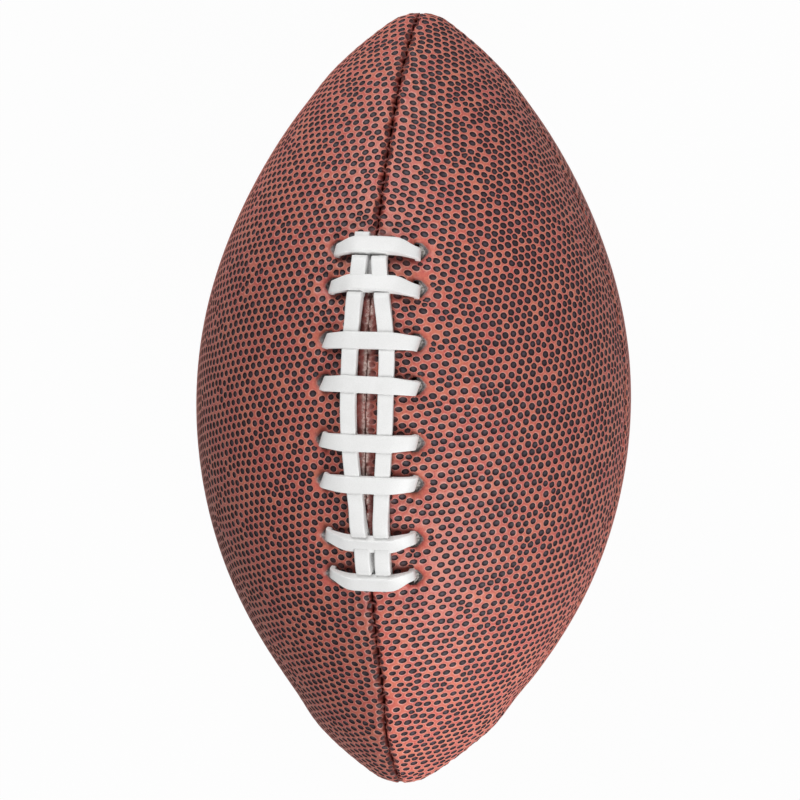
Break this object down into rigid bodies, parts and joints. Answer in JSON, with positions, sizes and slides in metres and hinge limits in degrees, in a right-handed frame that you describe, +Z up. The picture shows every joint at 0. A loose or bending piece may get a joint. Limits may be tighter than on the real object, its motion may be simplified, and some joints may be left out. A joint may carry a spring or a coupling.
{
  "type": "american football",
  "caption": "Laced prolate ball: pebbled leather panels sewn edge to edge from tip to tip, over a lining and a rubber bladder with a needle valve.",
  "frame": {"origin": "on the floor under the middle of the ball, as it lies on its belly seam with the lacing on top", "axes": "+X along the long axis towards the front tip, +Y to the left, +Z up through the lacing"},
  "size_m": [0.2734, 0.1538, 0.1594],
  "materials": {
    "cover_leather": "pebbled red-brown composite leather, satin",
    "lining_cloth": "plain woven cotton, off-white",
    "seam_thread": "waxed polyester thread, dark maroon",
    "lace_vinyl": "white vinyl strip, satin",
    "backing_leather": "plain split leather, matt",
    "bladder_rubber": "black butyl rubber",
    "valve_rubber": "black moulded rubber"
  },
  "bodies": {
    "root": {"panel_lace_left": "cover_leather", "panel_lace_right": "cover_leather", "panel_back_left": "cover_leather", "panel_back_right": "cover_leather", "lining_lace_left": "lining_cloth", "lining_lace_right": "lining_cloth", "lining_back_left": "lining_cloth", "lining_back_right": "lining_cloth", "seam_thread_lace_front": "seam_thread", "seam_thread_lace_rear": "seam_thread", "seam_thread_left": "seam_thread", "seam_thread_right": "seam_thread", "seam_thread_back": "seam_thread", "cross_lace": "lace_vinyl", "long_lace": "lace_vinyl", "lace_facing_left": "backing_leather", "lace_facing_right": "backing_leather", "lace_tongue": "backing_leather", "valve_facing": "lining_cloth", "bladder": "bladder_rubber", "valve_housing": "valve_rubber", "valve_core": "valve_rubber"}
  },
  "joints": []
}
